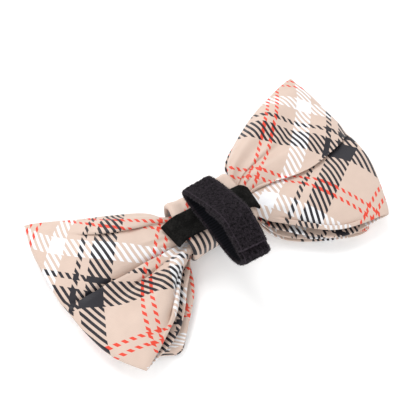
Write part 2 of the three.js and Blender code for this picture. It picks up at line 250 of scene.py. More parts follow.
# Soft creases in a bow's back: the wing, -1 for the left and 1 for the right, where the crease
# lies across it at the knot and at the rim in rows of the tables above, where it starts and ends
# as shares from the knot to the rim, and its width and depth in metres, where a depth below
# nought is a hollow.
BACK_BOW_CREASES = (
    (-1, 0.5, 0.35, 0.0, 0.8, 0.0022, -0.0008),
    (-1, 1.9, 1.8, 0.0, 0.5, 0.0012, -0.0007),
    (-1, 2.4, 2.6, 0.1, 0.8, 0.0040, 0.0004),
    (-1, 2.7, 2.4, 0.0, 0.4, 0.0012, -0.0006),
    (-1, 4.6, 4.7, 0.0, 0.7, 0.0024, -0.0012),
    (-1, 5.4, 5.5, 0.0, 0.7, 0.0016, -0.0006),
    (-1, 6.5, 6.6, 0.0, 0.8, 0.0020, -0.0008),
    (1, 0.5, 0.4, 0.0, 0.45, 0.0016, -0.0006),
    (1, 1.9, 1.8, 0.0, 0.7, 0.0024, -0.0022),
    (1, 2.6, 2.9, 0.0, 0.4, 0.0012, -0.0006),
    (1, 3.0, 3.6, 0.0, 0.5, 0.0016, 0.0006),
    (1, 3.7, 4.0, 0.0, 0.4, 0.0012, -0.0006),
    (1, 5.8, 5.3, 0.35, 1.0, 0.0035, -0.0004),
    (1, 6.6, 6.4, 0.0, 0.6, 0.0018, -0.0006),
)

# Folds where one stretch of a bow's back laps over the next: the wing, the row at the knot and at
# the rim, where the fold starts and ends as shares from the knot to the rim, the length of cloth
# in its turns and its height in metres. A height below nought lays the lower stretch on top.
BACK_BOW_LAPS = (
    (-1, 3.7, 4.25, 0.0, 1.2, 0.0018, 0.0016),
    (1, 4.55, 4.5, 0.0, 1.15, 0.0018, -0.0015),
    (-1, 6.9, 7.2, 0.2, 0.85, 0.0012, 0.0009),
    (-1, 0.6, 1.1, 0.0, 0.85, 0.0015, -0.0010),
    (1, 7.4, 7.5, 0.2, 0.9, 0.0010, 0.0008),
)

# The strap's loop seen from its side, a row for each bend: along is a share of the loop's length
# from the far end, up a share of its rise, both at the middle of the tape, and roll a share of
# the strap's roll, by which the tape leans towards +X.
STRAP_LOOP = (
    (0.08, 0.02, 0.0),
    (0.18, 0.0, 0.0),
    (0.31, 0.0, 0.0),
    (0.59, 0.0, 0.0),
    (0.74, 0.0, 0.0),
    (0.87, 0.05, 0.25),
    (0.96, 0.18, 0.6),
    (1.0, 0.38, 0.9),
    (0.97, 0.56, 1.0),
    (0.9, 0.71, 1.0),
    (0.79, 0.87, 1.0),
    (0.65, 1.0, 1.0),
    (0.46, 0.84, 0.8),
    (0.26, 0.6, 0.4),
    (0.08, 0.34, 0.1),
    (0.0, 0.16, 0.0),
)
# Where the strap stands beside the knot's middle, the clearance under its lap, and where the tape
# starts and ends, counted in rows of the table above.
STRAP_SHIFT = -0.0005
LAP_GAP = 0.00035
LAP_START = 8.4
LAP_END = 12.4
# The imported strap: its wall, its size in Y and Z, and its far end from the bows' middle line.
STRAP_SOLID_WALL = 0.0018
STRAP_REACH = 0.0404
STRAP_RISE = 0.0188
STRAP_FAR = 0.008
# Rolls run along the strap's curve beside its points, a roll of 1 as this many metres.
ROLL_SCALE = 0.001
# The strap's step along the tape and its rows across.
STRAP_STEP = 0.0004
STRAP_ROWS = 30
# The nap: the cells of its large and small tufts, after how many cells they repeat, its height,
# the level where it meets the tape's own face, where its flatter border starts and ends in shares
# of the width, and by how much that is flatter.
TUFT_CELLS = (0.0011, 0.0006)
TUFT_TILE = 257
NAP_HEIGHT = 0.0007
NAP_LEVEL = 0.75
NAP_BORDER = (0.40, 0.47)
BORDER_FLATTENING = 0.6
# The nap is pressed flat under the lap, from a little before its first row, and where the tape
# rests on the felt, up to these heights over its lowest point.
LAP_PRESSING = (-0.15, 0.05)
RESTING_HEIGHTS = (0.0005, 0.0020)
# Loose hairs: how many, the share of them at the edges, their radius and how wildly they lean.
HAIR_COUNT = 22000
HAIRS_AT_EDGES = 0.22
HAIR_RADIUS = 0.000045
HAIR_LEAN = 0.75

# The plaid, a row for each stripe of one repeat: its width in metres and its yarn.
PLAID_SETT = (
    (0.0105, "ground"),
    (0.0090, "dark"),
    (0.0030, "ground"),
    (0.0020, "dark"),
    (0.0065, "ground"),
    (0.0065, "light"),
    (0.0075, "ground"),
    (0.0016, "accent"),
    (0.0022, "ground"),
    (0.0016, "accent"),
    (0.0036, "ground"),
)
# Where the warp's and the weft's stripes start. The whole metre keeps every place above nought.
SETT_STARTS = (1.0, 1.033)
# The pitch of the print's twill strokes, how far the print wanders, and the pitches of the
# cloth's weave and of the ribs inside the strap.
STROKE_PITCH = 0.0021
PRINT_WANDER = 0.0006
WEAVE_PITCH = 0.00042
RIB_PITCH = 0.0011

# The camera: its direction from the bow in degrees, its distance and lens, and where it looks,
# measured from the knot's middle.
CAMERA_AZIMUTH = -34.3
CAMERA_ELEVATION = 60.0
CAMERA_DISTANCE = 0.3529
CAMERA_LENS = 75.0
CAMERA_AIM = (0.00536, 0.00953)
# Lights that look at the origin: name, place, size in metres and power in watts.
LIGHTS = (
    ("key", (0.05, 0.55, 0.85), 0.6, 4.6),
    ("fill", (-0.6, -0.35, 0.6), 0.6, 1.6),
)
WORLD_LIGHT = 0.86
FLOOR_GLOW = 0.16
FLOOR_SIZE = 4


class BowTieSizes(bpy.types.PropertyGroup):
    """Sizes of the bow tie, in metres."""

    cloth_wall: FloatProperty(
        name="Cloth", description="Cloth thickness", default=0.0006, unit="LENGTH"
    )
    left_reach: FloatProperty(
        name="Left reach", description="Knot to left rim", default=0.066, unit="LENGTH"
    )
    right_reach: FloatProperty(
        name="Right reach", description="Knot to right rim", default=0.0715, unit="LENGTH"
    )
    wing_height: FloatProperty(
        name="Wing height", description="Hem to hem at the rim", default=0.074, unit="LENGTH"
    )
    front_rise: FloatProperty(
        name="Front bow rise", description="Height of the front bow", default=0.0055, unit="LENGTH"
    )
    back_rise: FloatProperty(
        name="Back bow rise", description="Height of the back bow", default=0.012, unit="LENGTH"
    )
    rim_fold: FloatProperty(
        name="Rim fold", description="Depth of the rims' folds", default=0.003, unit="LENGTH"
    )
    seat_gap: FloatProperty(
        name="Seat gap", description="Clearance between pieces", default=0.00035, unit="LENGTH"
    )
    solid_wall: FloatProperty(
        name="Solid wall", description="Wall of the packed cloth", default=0.001, unit="LENGTH"
    )
    knot_wall: FloatProperty(
        name="Knot wall", description="Wall of the knot band", default=0.0018, unit="LENGTH"
    )
    felt_wall: FloatProperty(
        name="Felt", description="Felt thickness", default=0.0014, unit="LENGTH"
    )
    strap_wall: FloatProperty(
        name="Strap", description="Strap thickness", default=0.0015, unit="LENGTH"
    )
    strap_width: FloatProperty(
        name="Strap width", description="Width of the tape", default=0.0127, unit="LENGTH"
    )
    strap_roll: FloatProperty(
        name="Strap roll", description="Lean of the top, in degrees", default=15.0
    )
    pile: FloatProperty(
        name="Pile", description="Length of the strap's pile", default=0.001, unit="LENGTH"
    )
    seed: IntProperty(name="Seed", description="Seed of the fibres", default=7)


class BowTieColours(bpy.types.PropertyGroup):
    """Colours of the yarns and tapes."""

    ground: FloatVectorProperty(
        name="Ground", description="Beige", subtype="COLOR", default=(0.645, 0.50, 0.42)
    )
    dark: FloatVectorProperty(
        name="Dark", description="Charcoal", subtype="COLOR", default=(0.014, 0.0125, 0.018)
    )
    light: FloatVectorProperty(
        name="Light", description="White", subtype="COLOR", default=(0.84, 0.84, 0.86)
    )
    accent: FloatVectorProperty(
        name="Accent", description="Orange red", subtype="COLOR", default=(0.74, 0.06, 0.03)
    )
    felt: FloatVectorProperty(
        name="Felt", description="Felt", subtype="COLOR", default=(0.0035, 0.0033, 0.0031)
    )
    strap: FloatVectorProperty(
        name="Strap", description="Strap", subtype="COLOR", default=(0.0028, 0.0022, 0.0028)
    )


def sizes():
    """The sizes in use."""
    return bpy.context.scene.bow_tie_sizes


def colour(name):
    """A colour in use, with its alpha."""
    return (*getattr(bpy.context.scene.bow_tie_colours, name), 1.0)


# Curves and sheets


def catmull_rom(points, stretch, share, closed):
    """Points at a share of one stretch of centripetal curves; points is [row, curve, 3]."""
    count = len(points)

    def control(i):
        if closed:
            return points[i % count]
        if i < 0:
            return 2 * points[0] - points[1]
        if i >= count:
            return 2 * points[-1] - points[-2]
        return points[i]

    p0, p1, p2, p3 = (control(stretch + i) for i in (-1, 0, 1, 2))
    d0, d1, d2 = (
        np.maximum(np.linalg.norm(b - a, axis=-1, keepdims=True), 1e-9) ** 0.5
        for a, b in ((p0, p1), (p1, p2), (p2, p3))
    )
    t1 = ((p1 - p0) / d0 - (p2 - p0) / (d0 + d1) + (p2 - p1) / d1) * d1
    t2 = ((p2 - p1) / d1 - (p3 - p1) / (d1 + d2) + (p3 - p2) / d2) * d1
    s2, s3 = share * share, share**3
    start = (2 * s3 - 3 * s2 + 1) * p1 + (s3 - 2 * s2 + share) * t1
    return start + (3 * s2 - 2 * s3) * p2 + (s3 - s2) * t2


def curves_through(points, steps, closed):
    """Smooth curves through rows of points, steps[i] points in each stretch."""
    out = [
        catmull_rom(points, stretch, step / count, closed)
        for stretch, count in enumerate(steps)
        for step in range(count)
    ]
    if not closed:
        out.append(points[-1])
    return np.array(out)
def arc_length(points):
    """The length along a line of points up to each of them."""
    return np.concatenate([[0], np.cumsum(np.linalg.norm(np.diff(points, axis=0), axis=1))])
def grid_normals(grid, closed):
    """Unit normals of a grid of points [column, row, 3]."""
    if closed:
        along = np.roll(grid, -1, 0) - np.roll(grid, 1, 0)
    else:
        along = np.gradient(grid, axis=0)
    across = np.gradient(grid, axis=1)
    normal = np.cross(along, across)
    return normal / np.maximum(np.linalg.norm(normal, axis=-1, keepdims=True), 1e-12)


def sheet_mesh(name, grid, wall, uv, closed, edge_steps=3, reverse=None):
    """A closed body round a grid of points at the middle of a sheet's wall, with round edges.

    wall is the thickness at each point, and uv the cloth's own coordinates there, in metres. On a
    closed sheet they have one column more, where the last stretch meets the first point again.
    reverse gives the materials of the under and the upper side, where they differ.
    """
    columns, rows = grid.shape[:2]
    normal = grid_normals(grid, closed)
    half = (wall / 2)[..., None]
    top, under = grid + normal * half, grid - normal * half
    rings = [top[:, r] for r in range(rows)]
    marks = [uv[:, r] for r in range(rows)]

    def edge(r, inward):
        out = grid[:, r] - grid[:, inward]
        out = out - normal[:, r] * np.sum(out * normal[:, r], -1, keepdims=True)
        out = out / np.maximum(np.linalg.norm(out, axis=-1, keepdims=True), 1e-12)
        for step in range(1, edge_steps):
            angle = math.pi * step / edge_steps
            yield grid[:, r] + half[:, r] * (math.cos(angle) * normal[:, r] + math.sin(angle) * out)

    for ring in edge(rows - 1, rows - 2):
        rings.append(ring)
        marks.append(uv[:, rows - 1])
    for r in reversed(range(rows)):
        rings.append(under[:, r])
        marks.append(uv[:, r])
    for ring in reversed(list(edge(0, 1))):
        rings.append(ring)
        marks.append(uv[:, 0])
    points = np.stack(rings, 1)
    marks = np.stack(marks, 1)
    around = points.shape[1]
    first = np.arange(columns if closed else columns - 1)
    second = (first + 1) % columns
    ring = np.arange(around)
    turn = (ring + 1) % around
    a = first[:, None] * around + ring
    b = second[:, None] * around + ring
    c = second[:, None] * around + turn
    d = first[:, None] * around + turn
    faces = np.stack([a, b, c, d], -1).reshape(-1, 4).tolist()
    if not closed:
        last = (columns - 1) * around
        faces += end_cap(0, rows, around, True) + end_cap(last, rows, around, False)
    mesh = bpy.data.meshes.new(name)
    mesh.from_pydata(points.reshape(-1, 3).tolist(), [], faces)
    layer = mesh.uv_layers.new(name="cloth")
    column = np.repeat(np.arange(len(first))[:, None], around, 1)
    ring_at = np.repeat(ring[None, :], len(first), 0)
    beyond = column + 1
    next_ring = (ring_at + 1) % around
    corner = np.stack([marks[column, ring_at], marks[beyond, ring_at]], 2)
    beyond_corner = np.stack([marks[beyond, next_ring], marks[column, next_ring]], 2)
    corner = np.concatenate([corner, beyond_corner], 2)
    corners = np.zeros((len(mesh.loops), 2))
    corners[: corner.size // 2] = corner.reshape(-1, 2)
    layer.data.foreach_set("uv", corners.ravel())
    if reverse is not None:
        mesh.materials.append(reverse[0])
        mesh.materials.append(reverse[1])
        under_side = np.zeros((len(first), around), np.int32)
        under_side[:, : rows - 1] = 1
        sides = np.zeros(len(mesh.polygons), np.int32)
        sides[: under_side.size] = under_side.ravel()
        mesh.polygons.foreach_set("material_index", sides)
    mesh.update()
    obj = bpy.data.objects.new(name, mesh)
    bpy.context.scene.collection.objects.link(obj)
    mesh.shade_smooth()
    return obj


def end_cap(start, rows, around, flip):
    """Faces that close one end of an open sheet, whose ring runs over the top and back under."""
    edge = (around - 2 * rows) // 2
    ring = list(range(start, start + around))
    top, near = ring[:rows], ring[rows : rows + edge]
    under, far = ring[rows + edge : 2 * rows + edge], ring[2 * rows + edge :]
    faces = [
        [top[i], top[i + 1], under[rows - 2 - i], under[rows - 1 - i]] for i in range(rows - 1)
    ]
    faces += [[top[-1], *near, under[0]], [under[-1], *far, top[0]]]
    return [face if flip else face[::-1] for face in faces]


def keep_outward(obj):
    """Turns a closed body right side out if its volume is negative."""
    mesh = obj.data
    count = len(mesh.vertices)
    points = np.empty(count * 3)
    mesh.vertices.foreach_get("co", points)
    points = points.reshape(-1, 3)
    mesh.calc_loop_triangles()
    corners = np.empty(len(mesh.loop_triangles) * 3, np.int64)
    mesh.loop_triangles.foreach_get("vertices", corners)
    a, b, c = (points[corners.reshape(-1, 3)[:, i]] for i in range(3))
    if np.sum(np.cross(a, b) * c) < 0:
        mesh.flip_normals()
    return obj


# Bows


def knot_middle():
    """The knot band's middle, from which the bows are measured."""
    low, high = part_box("knot_band")
    return (low + high) / 2, high - low


def neck_room():
    """Half width, lowest height and span of the room inside the knot band."""
    s = sizes()
    _, size = knot_middle()
    inset = s.knot_wall + s.seat_gap + s.solid_wall / 2
    return size.y / 2 - inset, inset, size.z - 2 * inset


def band_sides():
    """The outside of the dressed band, from its packed middle: near, far, bottom and top."""
    _, size = knot_middle()
    return (
        -size.y / 2 + BAND_NEAR_INSET,
        size.y / 2,
        -size.z / 2 + BAND_UNDER_INSET,
        size.z / 2,
    )


def keep_in_band(grid):
    """Moves a bow's necks to the inside of the knot band, less and less past its hems."""
    middle, size = knot_middle()
    near, far, bottom, top = band_sides()
    centre = np.array([(near + far) / 2 + middle.y, (bottom + top) / 2 + middle.z])
    half = np.array([(far - near) / 2, (top - bottom) / 2])
    at = grid[..., 1:] - centre
    sign = np.where(at < 0, -1, 1)
    radius = np.zeros(grid.shape[:2])
    for (sy, sz), value in BAND_RADII.items():
        radius = np.where((sign[..., 0] == sy) & (sign[..., 1] == sz), value, radius)
    past = np.abs(at) - half + radius[..., None]
    corner = np.maximum(past, 0)
    reach = np.linalg.norm(corner, axis=-1)
    distance = reach + np.minimum(past.max(-1), 0) - radius
    flat = np.where(past[..., :1] > past[..., 1:], np.array([1.0, 0.0]), np.array([0.0, 1.0]))
    way = np.where(reach[..., None] > 1e-9, corner / np.maximum(reach, 1e-9)[..., None], flat)
    too_far = np.maximum(distance + BAND_WALL + BAND_INNER_ROOM, 0)
    from_hem = np.abs(grid[..., 0] - middle.x) - size.x / 2
    too_far = too_far * (1 - smooth_step(from_hem, 0, NECK_FADE))
    out = grid.copy()
    out[..., 1:] -= way * sign * too_far[..., None]
    return out


def fold_points(rows, side, base, rise):
    """Where a wing's fold lines pass at the neck, flare, mid and rim, and the tip's X."""
    s = sizes()
    middle, size = knot_middle()
    half_neck, neck_low, neck_span = neck_room()
    fold = {name: np.array([row[i] for row in rows]) for i, name in enumerate(FOLD_COLUMNS)}
    half_wing = s.wing_height / 2
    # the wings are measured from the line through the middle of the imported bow
    line_y = middle.y + KNOT_SHIFT
    reach = s.left_reach if side < 0 else s.right_reach

    def height(share):
        return base + s.solid_wall / 2 + share * (rise - s.solid_wall)

    def points(x, y, z):
        x = np.broadcast_to(x, y.shape)
        return np.stack([middle.x + side * x, y, z], -1)

    tip_x = fold["rim_x"] * reach - s.solid_wall / 2
    rim_x = tip_x - s.rim_fold
    neck_x = size.x / 2 - NECK_DEPTH
    flare_x = size.x / 2 + FLARE_REACH
    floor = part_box("knot_band")[0].z
    neck_z = floor + neck_low + fold["neck_z"] * neck_span
    neck = points(neck_x, middle.y + fold["neck_y"] * half_neck, neck_z)
    flare, mid, rim = (
        points(x, line_y + fold[place + "_y"] * half_wing, floor + height(fold[place + "_z"]))
        for place, x in (("flare", flare_x), ("mid", (flare_x + rim_x) / 2), ("rim", rim_x))
    )
    return neck, flare, mid, rim, middle.x + side * tip_x


def bow_grid(folds, base, rise, row_steps, wing_steps, tip_fan):
    """The bow's cloth as a grid [column, row, 3], and the steps of its loop."""
    rb, rf, lb, lf = (
        fold_points(folds[wing], -1 if wing.startswith("left") else 1, base, rise)
        for wing in ("right_back", "right_front", "left_back", "left_front")
    )

    def tip(back, front):
        point = (back[3] + front[3]) / 2
        fan = (back[3] - back[2])[:, 1] / (back[3] - back[2])[:, 0]
        point[:, 1] += tip_fan * fan * (back[4] - point[:, 0])
        point[:, 0] = back[4]
        return point

    loop = np.array(
        [(lb[0] + rb[0]) / 2, *rb[:4], tip(rb, rf), *rf[3::-1]]
        + [(rf[0] + lf[0]) / 2, *lf[:4], tip(lb, lf), *lb[3::-1]]
    )
    half_loop = [NECK_STEPS, wing_steps // 3, wing_steps, wing_steps, TIP_STEPS]
    steps = [*half_loop, *reversed(half_loop)] * 2
    columns = curves_through(loop, steps, True)
    grid = curves_through(columns.transpose(1, 0, 2), row_steps, False)
    return grid.transpose(1, 0, 2), steps


def cloth_marks(grid, reference_row):
    """Cloth coordinates in metres: along the loop and across it, with the seam's column twice."""
    loop = np.concatenate([grid, grid[:1]])
    step = np.diff(loop, axis=0)
    length = np.hypot(step[..., 0], step[..., 2])
    along = np.concatenate([np.zeros((1, grid.shape[1])), np.cumsum(length, 0)])
    span = np.diff(loop, axis=1)
    width = np.hypot(span[..., 1], span[..., 2])
    across = np.concatenate([np.zeros((len(loop), 1)), np.cumsum(width, 1)], 1)
    across = loop[:, reference_row, 1][:, None] - (across - across[:, reference_row][:, None])
    return flatten(loop, np.stack([along, across], -1))


def cell_corners(grid):
    """The four corners of each cell of a grid."""
    return np.stack([grid[corner] for corner in CORNERS])


def add_corners(cells):
    """Sums what the cells give to each point of their grid."""
    out = np.zeros((cells.shape[1] + 1, cells.shape[2] + 1), cells.dtype)
    for corner, cell in zip(CORNERS, cells):
        out[corner] += cell
    return out


def from_middle(cells):
    """Corners measured from the middle of their cell."""
    return cells - cells.mean(0)


def flatten(loop, marks):
    """Lays the cloth flat, turning its cells but stretching them as little as it can.

    Flat places are complex numbers, along the loop and across it.
    """
    corner = cell_corners(loop)
    side = corner[1:] - corner[0]
    length = np.maximum(np.linalg.norm(side, axis=-1), 1e-9)
    opening = np.sum(side[:-1] * side[1:], -1) / (length[:-1] * length[1:])
    angle = np.cumsum(np.arccos(np.clip(opening, -1, 1)), 0)
    cell = np.zeros(corner.shape[:3], complex)
    cell[1:] = length
    cell[2:] *= np.exp(-1j * angle)
    cell = from_middle(cell)
    laid = marks[..., 0] + 1j * marks[..., 1]
    for _ in range(FLATTEN_PASSES):
        spin = np.sum(from_middle(cell_corners(laid)) * cell.conj(), 0)
        spin /= np.maximum(np.abs(spin), 1e-15)
        laid = settle(laid, add_corners(spin * cell))
    return np.stack([laid.real, laid.imag], -1)


def settle(laid, target):
    """Moves flat points towards the places their cells ask for, by conjugate gradients."""
    rest = target - add_corners(from_middle(cell_corners(laid)))
    step = rest.copy()
    size = np.vdot(rest, rest).real
    for _ in range(SETTLE_ROUNDS):
        if size < 1e-20:
            break
        pull = add_corners(from_middle(cell_corners(step)))
        share = size / np.vdot(step, pull).real
        laid = laid + share * step
        rest = rest - share * pull
        last, size = size, np.vdot(rest, rest).real
        step = rest + size / last * step
    return laid


def smooth_step(value, low, high):
    """0 below low, 1 above high and a smooth rise between."""
    t = np.clip((value - low) / (high - low), 0, 1)
    return t * t * (3 - 2 * t)


def wing_columns(columns, per_wing, side):
    """Indices of a wing's back from the knot to the rim, and their shares of the way."""
    wing = np.arange(per_wing + 1)
    return (wing if side > 0 else (-wing) % columns), (wing / per_wing)[:, None]


def distance_from_row(wing, row):
    """How far each point of a wing lies across the cloth from a row that may run slanting."""
    length = np.linalg.norm(np.diff(wing, axis=1), axis=-1)
    length = np.concatenate([np.zeros((len(wing), 1)), np.cumsum(length, 1)], 1)
    low = np.clip(np.floor(row).astype(int), 0, wing.shape[1] - 2)
    share = row - low
    pick = np.arange(len(wing))
    at = length[pick, low] * (1 - share) + length[pick, low + 1] * share
    return length - at[:, None]


def work_cloth(grid, steps, row_steps, creases, laps):
    """Presses the soft creases into a bow's back and lays the lapped folds."""
    places = np.concatenate([[0], np.cumsum(row_steps)])
    per_wing = sum(steps[:4])
    out = grid.copy()
    for fold, lapped in [(row, False) for row in creases] + [(row, True) for row in laps]:
        side, at_knot, at_rim, start, end, width, depth = fold
        index, share = wing_columns(len(grid), per_wing, side)
        wing = out[index]
        row = np.interp(at_knot + (at_rim - at_knot) * share[:, 0], np.arange(len(places)), places)
        span = np.linalg.norm(np.diff(grid[index], axis=1), axis=-1).sum(1)
        room = np.clip(FOLD_ROOM * span / span[-1], 0, 1)[:, None]
        width = width * room
        far = distance_from_row(wing, row) / width
        fade = smooth_step(share, start + FOLD_RISE[0], start + FOLD_RISE[1])
        fade = fade * (1 - smooth_step(share, end - FOLD_FALL, end))
        fade = fade * room * smooth_step(share, *IN_KNOT)
        normal = grid_normals(out, True)[index]
        if lapped:
            down = np.gradient(wing, axis=1)
            down /= np.maximum(np.linalg.norm(down, axis=-1, keepdims=True), 1e-12)
            turn = LAP_TURN * width * far * np.exp((1 - far**2) / 2) * fade
            lift = -depth * fade * far / np.sqrt(far**2 + LAP_SOFTNESS)
            lift = lift * np.exp(-((far / LAP_REACH) ** 2))
            out[index] = wing - down * turn[..., None] + normal * lift[..., None]
        else:
            out[index] = wing + normal * (depth * fade * np.exp(-(far**2)))[..., None]
    return out


def ripple(grid, seed, amount, scale):
    """Small uneven waves over the cloth, the same each run."""
    random = np.random.default_rng(seed)
    out = np.zeros(grid.shape[:2])
    for _ in range(RIPPLE_WAVES):
        direction = random.normal(size=3)
        direction[2] *= 0.3
        direction /= np.linalg.norm(direction)
        wave = 2 * math.pi / (scale * random.uniform(0.7, 2.2))
        out += np.sin(grid @ direction * wave + random.uniform(0, 2 * math.pi))
    return out / RIPPLE_WAVES * amount


def turn_wall(grid, wall):
    """The cloth's thickness, less where it turns so tightly that its inside would cross itself."""
    before, after = grid[:, 1:-1] - grid[:, :-2], grid[:, 2:] - grid[:, 1:-1]
    area = np.linalg.norm(np.cross(before, after), axis=-1)
    sides = np.linalg.norm(before, axis=-1) * np.linalg.norm(after, axis=-1)
    sides *= np.linalg.norm(before + after, axis=-1)
    radius = np.pad(sides / np.maximum(2 * area, 1e-15), ((0, 0), (1, 1)), mode="edge")
    limit = np.clip(TURN_SHARE * radius, LEAST_WALL * wall, wall)
    for axis in (1, 1, 0):
        limit = np.minimum(limit, np.minimum(np.roll(limit, 1, axis), np.roll(limit, -1, axis)))
    return limit


def bow(name, folds, base, rise, row_steps, wing_steps, tip_fan, creases, laps):
    """One bow as a closed cloth body."""
    s = sizes()
    grid, steps = bow_grid(folds, base, rise, row_steps, wing_steps, tip_fan)
    grid = work_cloth(grid, steps, row_steps, creases, laps)
    grid = grid + grid_normals(grid, True) * ripple(grid, s.seed, *CLOTH_RIPPLE)[..., None]
    grid = keep_in_band(grid)
    marks = cloth_marks(grid, sum(row_steps) // 2)
    return keep_outward(sheet_mesh(name, grid, turn_wall(grid, s.cloth_wall), marks, True))


# Materials


def new_material(name):
    """A new node material, its tree and its shader."""
    material = bpy.data.materials.new(name)
    material.use_nodes = True
    tree = material.node_tree
    return material, tree, tree.nodes["Principled BSDF"]


def add_node(tree, kind, inputs=(), **settings):
    """A node with its settings, and its inputs linked or set."""
    node = tree.nodes.new(kind)
    for key, value in settings.items():
        setattr(node, key, value)
    for key, value in dict(inputs).items():
        if isinstance(value, bpy.types.NodeSocket):
            tree.links.new(value, node.inputs[key])
        else:
            node.inputs[key].default_value = value
    return node


def calc(tree, operation, *values):
    """A math node's result."""
    node = add_node(tree, "ShaderNodeMath", enumerate(values), operation=operation)
    return node.outputs[0]


def stripes(tree, coordinate, repeat):
    """The plaid's stripe colour at a coordinate along one set of yarns."""
    share = calc(tree, "FRACT", calc(tree, "DIVIDE", coordinate, repeat))
    ramp = add_node(tree, "ShaderNodeValToRGB", {"Fac": share})
    ramp.color_ramp.interpolation = "CONSTANT"
    elements = ramp.color_ramp.elements
    elements.remove(elements[1])
    place = 0.0
    for i, (width, yarn) in enumerate(PLAID_SETT):
        element = elements[0] if i == 0 else elements.new(place / repeat)
        element.color = colour(yarn)
        place += width
    return ramp.outputs["Color"]


def cloth_uv(tree):
    """The cloth's own coordinates, in metres."""
    return add_node(tree, "ShaderNodeUVMap", uv_map="cloth").outputs["UV"]


def split(tree, place):
    """A place's X and Y."""
    parts = add_node(tree, "ShaderNodeSeparateXYZ", {0: place}).outputs
    return parts["X"], parts["Y"]


def noise(tree, place, scale, detail, roughness=0.5):
    """The outputs of a noise texture."""
    inputs = {"Vector": place, "Scale": scale, "Detail": detail, "Roughness": roughness}
    return add_node(tree, "ShaderNodeTexNoise", inputs).outputs


def mix(tree, share, first, second, **settings):
    """Two colours mixed by a share."""
    inputs = {0: share, 6: first, 7: second}
    return add_node(tree, "ShaderNodeMix", inputs, data_type="RGBA", **settings).outputs[2]


def brighter(base, times):
    """A colour made brighter."""
    return tuple(min(1, times * v) for v in base[:3]) + (1.0,)


def set_inputs(node, values):
    """Sets inputs of a node by their names."""
    for key, value in values.items():
        node.inputs[key].default_value = value


def surface(tree, shader, base, height, bump, roughness, specular):
    """Gives a shader its colour and relief; bump is the relief's strength and its depth."""
    tree.links.new(base, shader.inputs["Base Color"])
    inputs = {"Height": height, "Strength": bump[0], "Distance": bump[1]}
    relief = add_node(tree, "ShaderNodeBump", inputs)
    tree.links.new(relief.outputs[0], shader.inputs["Normal"])
    set_inputs(shader, {"Roughness": roughness, "Specular IOR Level": specular})


def plaid_material():
    """Printed plaid cloth on the bias: bands that meet the ground show as twill strokes."""
    material, tree, shader = new_material("plaid_cloth")
    repeat = sum(width for width, _ in PLAID_SETT)
    uv = cloth_uv(tree)
    inputs = {0: noise(tree, uv, 60.0, 2.0)["Color"], 1: (0.5, 0.5, 0.5)}
    wander = add_node(tree, "ShaderNodeVectorMath", inputs, operation="SUBTRACT")
    inputs = {0: wander.outputs[0], "Scale": PRINT_WANDER}
    wander = add_node(tree, "ShaderNodeVectorMath", inputs, operation="SCALE")
    inputs = {0: uv, 1: wander.outputs[0]}
    place = add_node(tree, "ShaderNodeVectorMath", inputs, operation="ADD").outputs[0]
    x, y = split(tree, place)
    bias = math.sqrt(0.5)
    warp_at = calc(tree, "MULTIPLY", calc(tree, "ADD", x, y), bias)
    weft_at = calc(tree, "MULTIPLY", calc(tree, "SUBTRACT", y, x), bias)
    warp, weft = (
        stripes(tree, calc(tree, "ADD", at, start), repeat)
        for at, start in zip((warp_at, weft_at), SETT_STARTS)
    )
    stroke = calc(tree, "DIVIDE", calc(tree, "ADD", x, SETT_STARTS[0]), STROKE_PITCH)
    stroke = calc(tree, "GREATER_THAN", calc(tree, "FRACT", stroke), 0.5)
    printed = mix(tree, stroke, warp, weft)
    along, across = split(tree, uv)
    rib = calc(tree, "SINE", calc(tree, "MULTIPLY", along, 2 * math.pi / WEAVE_PITCH))
    slant = calc(tree, "MULTIPLY", calc(tree, "ADD", along, across), math.pi / WEAVE_PITCH)
    rib = calc(tree, "MULTIPLY", rib, 0.5)
    weave = calc(tree, "ADD", rib, calc(tree, "MULTIPLY", calc(tree, "SINE", slant), 0.5))
    fade = calc(tree, "MULTIPLY", noise(tree, uv, 220.0, 3.0)["Fac"], 0.12)
    tint = calc(tree, "ADD", calc(tree, "MULTIPLY", weave, 0.035), calc(tree, "ADD", fade, 0.93))
    grey = add_node(tree, "ShaderNodeCombineColor", {i: tint for i in range(3)}).outputs[0]
    shaded = mix(tree, 1.0, printed, grey, blend_type="MULTIPLY")
    surface(tree, shader, shaded, weave, (0.25, 0.00006), 0.48, 0.35)
    set_inputs(shader, {"Sheen Weight": 0.25, "Sheen Roughness": 0.4})
    return material


def felt_material():
    """Matte, matted fibre felt."""
    material, tree, shader = new_material("felt")
    place = add_node(tree, "ShaderNodeTexCoord").outputs["Object"]
    fibre = calc(tree, "MULTIPLY", noise(tree, place, 1700.0, 3.0, 0.7)["Fac"], 1.2)
    cloud = calc(tree, "MULTIPLY", noise(tree, place, 260.0, 2.0)["Fac"], 0.8)
    height = calc(tree, "ADD", fibre, cloud)
    light = calc(tree, "MULTIPLY", calc(tree, "SUBTRACT", height, 0.86), 1.8)
    base = colour("felt")
    lit = mix(tree, light, base, brighter(base, 6.5))
    surface(tree, shader, lit, height, (0.9, 0.0003), 0.95, 0.1)
    return material


